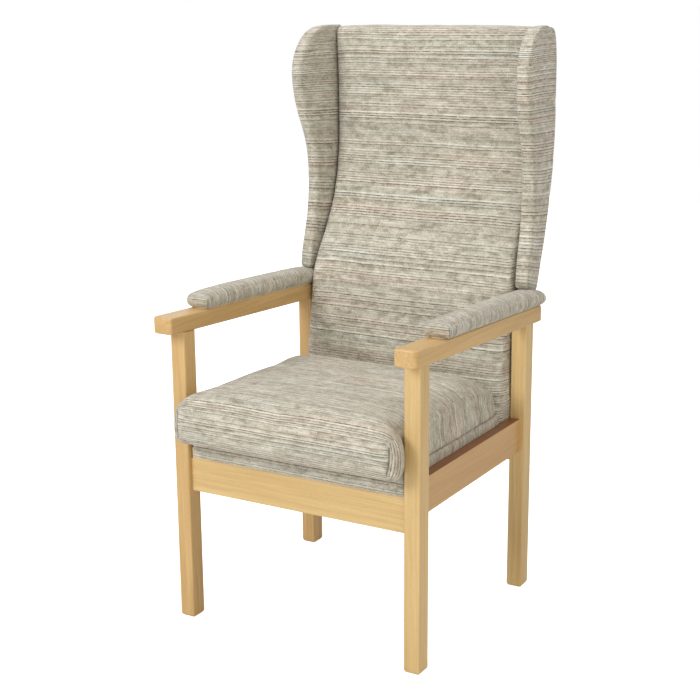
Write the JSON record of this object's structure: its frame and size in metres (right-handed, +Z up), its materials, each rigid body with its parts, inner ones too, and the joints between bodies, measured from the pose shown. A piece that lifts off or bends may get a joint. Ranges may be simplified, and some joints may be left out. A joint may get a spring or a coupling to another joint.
{
  "type": "fireside chair",
  "caption": "High-backed fireside chair: square timber legs and arms, S-curved winged back, padded arm tops and a loose boxed seat cushion.",
  "frame": {"origin": "on the floor under the middle of the chair's overall footprint, on its centre plane", "axes": "+X to the right seen from the front, +Y to the rear, +Z up; the sitter faces -Y"},
  "size_m": [0.5856, 0.7171, 1.1845],
  "materials": {
    "beech": "satin lacquer, honey beech",
    "frame_timber": "sawn and planed",
    "plywood": "sanded plywood",
    "striped_chenille": "ribbed chenille with fine irregular stripes",
    "foam": "cut polyurethane foam",
    "hessian": "plain weave",
    "black_lining": "spun-bonded lining",
    "zip_tape": "woven tape with nylon coil",
    "zinc_steel": "zinc plated",
    "spring_steel": "oiled wire"
  },
  "bodies": {
    "frame": {"front_leg_left": "beech", "front_leg_right": "beech", "rear_leg_left": "beech", "rear_leg_right": "beech", "arm_left": "beech", "arm_right": "beech", "front_rail": "beech", "rear_rail": "beech", "side_rail_left": "beech", "side_rail_right": "beech", "front_corner_block_left": "frame_timber", "front_corner_block_right": "frame_timber", "rear_corner_block_left": "frame_timber", "rear_corner_block_right": "frame_timber", "rail_dowels": "frame_timber", "arm_dowels": "frame_timber", "back_leg_dowels": "frame_timber", "back_rail_dowels": "frame_timber", "arm_pad_screws": "zinc_steel", "deck_screws": "zinc_steel", "deck_front_rail": "frame_timber", "deck_rear_rail": "frame_timber", "deck_side_rail_left": "frame_timber", "deck_side_rail_right": "frame_timber", "deck_cover": "striped_chenille", "deck_foam": "foam", "spring_hessian": "hessian", "dust_cover": "black_lining", "seat_springs": "spring_steel", "back_stile_left": "frame_timber", "back_stile_right": "frame_timber", "back_bottom_rail": "frame_timber", "back_lumbar_rail": "frame_timber", "back_top_rail": "frame_timber", "back_webbing": "hessian", "back_foam": "foam", "inside_back_cover": "striped_chenille", "outside_back_cover": "striped_chenille", "wing_bolts": "zinc_steel", "wing_board_left": "plywood", "wing_board_right": "plywood", "wing_packer_left": "frame_timber", "wing_packer_right": "frame_timber", "wing_foam_left": "foam", "wing_foam_right": "foam", "wing_cover_left": "striped_chenille", "wing_cover_right": "striped_chenille", "arm_pad_cover_left": "striped_chenille", "arm_pad_cover_right": "striped_chenille", "arm_pad_board_left": "plywood", "arm_pad_board_right": "plywood", "arm_pad_foam_left": "foam", "arm_pad_foam_right": "foam"},
    "seat_cushion": {"cushion_cover": "striped_chenille", "cushion_foam": "foam", "cushion_zip": "zip_tape"}
  },
  "joints": [
    {"name": "cushion_pull", "type": "slide", "parent": "frame", "child": "seat_cushion", "axis": [0, -1, 0], "range_m": [0, 0.5]}
  ]
}
